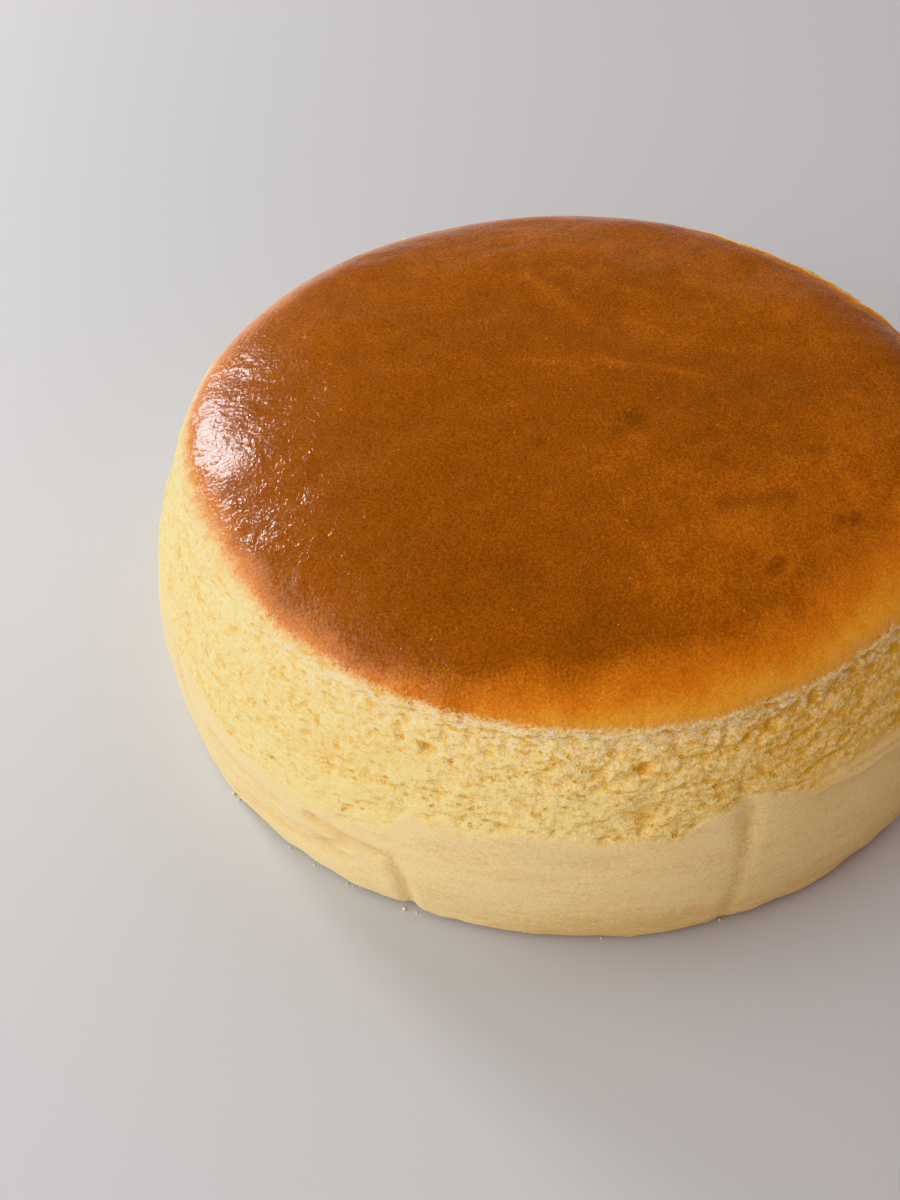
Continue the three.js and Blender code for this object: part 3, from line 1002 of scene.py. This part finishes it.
# Lights as (name, azimuth, elevation, size, colour, lights the cake, is reflected in it)
LIGHTS = (
    ("window", -132, 22, (0.28, 0.28), (1, 1, 1), True, False),
    ("glint", -134, 22, (0.17, 0.4), (1, 0.98, 1), False, True),
    ("soft_light", -80, 25, (1.7, 1.4), (0.88, 1, 0.97), True, True),
    ("front_fill", -20, 32, (1.2, 1), (1, 0.88, 0.86), True, False),
    ("back_light", 140, 52, (1, 0.8), (1, 0.97, 0.93), True, False),
)
LIGHT_DISTANCE = 1.3
LIGHT_AIM = (0, 0, 0.04)
CAMERA_PLACE = (0, -0.3095, 0.3106)
CAMERA_PITCH, CAMERA_YAW, CAMERA_ROLL = 44.54, -5.56, -1.86


class CAKE_OT_cheesecake(bpy.types.Operator):
    """Make the cake in place of the plain solid"""

    bl_idname = "cake.cheesecake"
    bl_label = "Cheesecake"

    def execute(self, context):
        shape = context.scene.cake_shape
        profile = Profile(shape)
        bm = bmesh.new()
        spun(bm, profile_rows(profile))
        for low, high in FINE_WAYS:
            finer(bm, low, high)
        bmesh.ops.recalc_face_normals(bm, faces=bm.faces)
        piece = finished("cheesecake_baked", bm, cake_material(context.scene.cake_finish))
        mould(piece.data, profile, shape)
        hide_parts(NODE)
        return {"FINISHED"}


class CAKE_OT_crumbs(bpy.types.Operator):
    """Scatter small crumbs at the foot and on the rim"""

    bl_idname = "cake.crumbs"
    bl_label = "Loose crumbs"

    def execute(self, context):
        profile = Profile(context.scene.cake_shape)
        bm = bmesh.new()
        for azimuth, height, size in CRUMBS:
            radius = profile.base + 0.3 * size if height < 5 else profile.radius(height)
            height = height or 0.6 * size
            place = Vector(placed(np.array([azimuth]), radius, height)[0])
            made = bmesh.ops.create_icosphere(bm, subdivisions=2, radius=size)
            for vert in made["verts"]:
                lumpy = 1 + 0.5 * noise.noise(vert.co / (0.8 * size) + place)
                vert.co = (vert.co * lumpy + place) * MM
                vert.co.z = max(vert.co.z, 0)
        finished("loose_crumbs", bm, crumb_material(context.scene.cake_finish))
        return {"FINISHED"}


class CAKE_OT_studio(bpy.types.Operator):
    """Set the floor, the soft lights and the camera"""

    bl_idname = "cake.studio"
    bl_label = "Studio"

    def execute(self, context):
        studio = context.scene.cake_studio
        bm = bmesh.new()
        bmesh.ops.create_grid(bm, x_segments=1, y_segments=1, size=4)
        mesh = bpy.data.meshes.new("floor")
        bm.to_mesh(mesh)
        bm.free()
        mesh.materials.append(floor_material(studio))
        floor = bpy.data.objects.new("floor", mesh)
        context.scene.collection.objects.link(floor)
        for light in LIGHTS:
            add_light(studio, *light)
        add_world(context.scene, studio.room)
        context.scene.camera = add_camera(studio)
        context.scene.view_settings.view_transform = "Khronos PBR Neutral"
        return {"FINISHED"}


def outward(azimuth, elevation):
    """Direction from the cake at an azimuth and an elevation in degrees."""
    around, up = math.radians(azimuth), math.radians(elevation)
    return Vector(
        (math.sin(around) * math.cos(up), -math.cos(around) * math.cos(up), math.sin(up))
    )


def add_light(studio, name, azimuth, elevation, size, shade, lit, reflected):
    """A soft box that faces the middle of the cake and lights it, is reflected in it or both."""
    out = outward(azimuth, elevation)
    lamp = bpy.data.lights.new(name, "AREA")
    lamp.shape = "RECTANGLE"
    lamp.size, lamp.size_y = size
    lamp.energy = getattr(studio, name)
    lamp.color = shade
    holder = bpy.data.objects.new(name, lamp)
    holder.location = Vector(LIGHT_AIM) + out * LIGHT_DISTANCE
    holder.rotation_euler = out.to_track_quat("Z", "Y").to_euler()
    holder.visible_diffuse = lit
    holder.visible_glossy = reflected
    bpy.context.scene.collection.objects.link(holder)


def add_world(scene, strength):
    """Even light from the room."""
    world = bpy.data.worlds.new("room")
    world.use_nodes = True
    background = world.node_tree.nodes["Background"]
    background.inputs["Color"].default_value = (1, 0.7, 0.55, 1)
    background.inputs["Strength"].default_value = strength
    scene.world = world


def add_camera(studio):
    """The camera, looking down on the front of the cake."""
    forward = -outward(-CAMERA_YAW, CAMERA_PITCH)
    level = forward.cross(Vector((0, 0, 1))).normalized()
    upright = level.cross(forward)
    roll_by = math.radians(CAMERA_ROLL)
    right = level * math.cos(roll_by) + upright * math.sin(roll_by)
    up = upright * math.cos(roll_by) - level * math.sin(roll_by)
    camera = bpy.data.cameras.new("camera")
    camera.lens = studio.lens
    camera.sensor_width = 36
    holder = bpy.data.objects.new("camera", camera)
    turned = Matrix((right, up, -forward)).transposed().to_4x4()
    holder.matrix_world = Matrix.Translation(CAMERA_PLACE) @ turned
    bpy.context.scene.collection.objects.link(holder)
    return holder


class CAKE_PT_panel(bpy.types.Panel):
    """Lists the cake's operators and settings"""

    bl_label = "Cheesecake"
    bl_space_type = "VIEW_3D"
    bl_region_type = "UI"
    bl_category = "Cheesecake"

    def draw(self, context):
        column = self.layout.column()
        for operator in OPERATORS:
            column.operator(operator.bl_idname)
        for group in (context.scene.cake_shape, context.scene.cake_finish,
                      context.scene.cake_studio):
            for name in group.bl_rna.properties.keys():
                if name not in {"rna_type", "name"}:
                    column.prop(group, name)


OPERATORS = (CAKE_OT_studio, CAKE_OT_cheesecake, CAKE_OT_crumbs)
CLASSES = (CakeShape, CakeFinish, Studio, *OPERATORS, CAKE_PT_panel)


def register():
    for cls in CLASSES:
        bpy.utils.register_class(cls)
    bpy.types.Scene.cake_shape = PointerProperty(type=CakeShape)
    bpy.types.Scene.cake_finish = PointerProperty(type=CakeFinish)
    bpy.types.Scene.cake_studio = PointerProperty(type=Studio)


def unregister():
    del bpy.types.Scene.cake_studio
    del bpy.types.Scene.cake_finish
    del bpy.types.Scene.cake_shape
    for cls in reversed(CLASSES):
        bpy.utils.unregister_class(cls)


def main():
    """Register the add-on and make everything."""
    register()
    bpy.ops.cake.studio()
    bpy.ops.cake.cheesecake()
    bpy.ops.cake.crumbs()


if __name__ == "__main__":
    main()
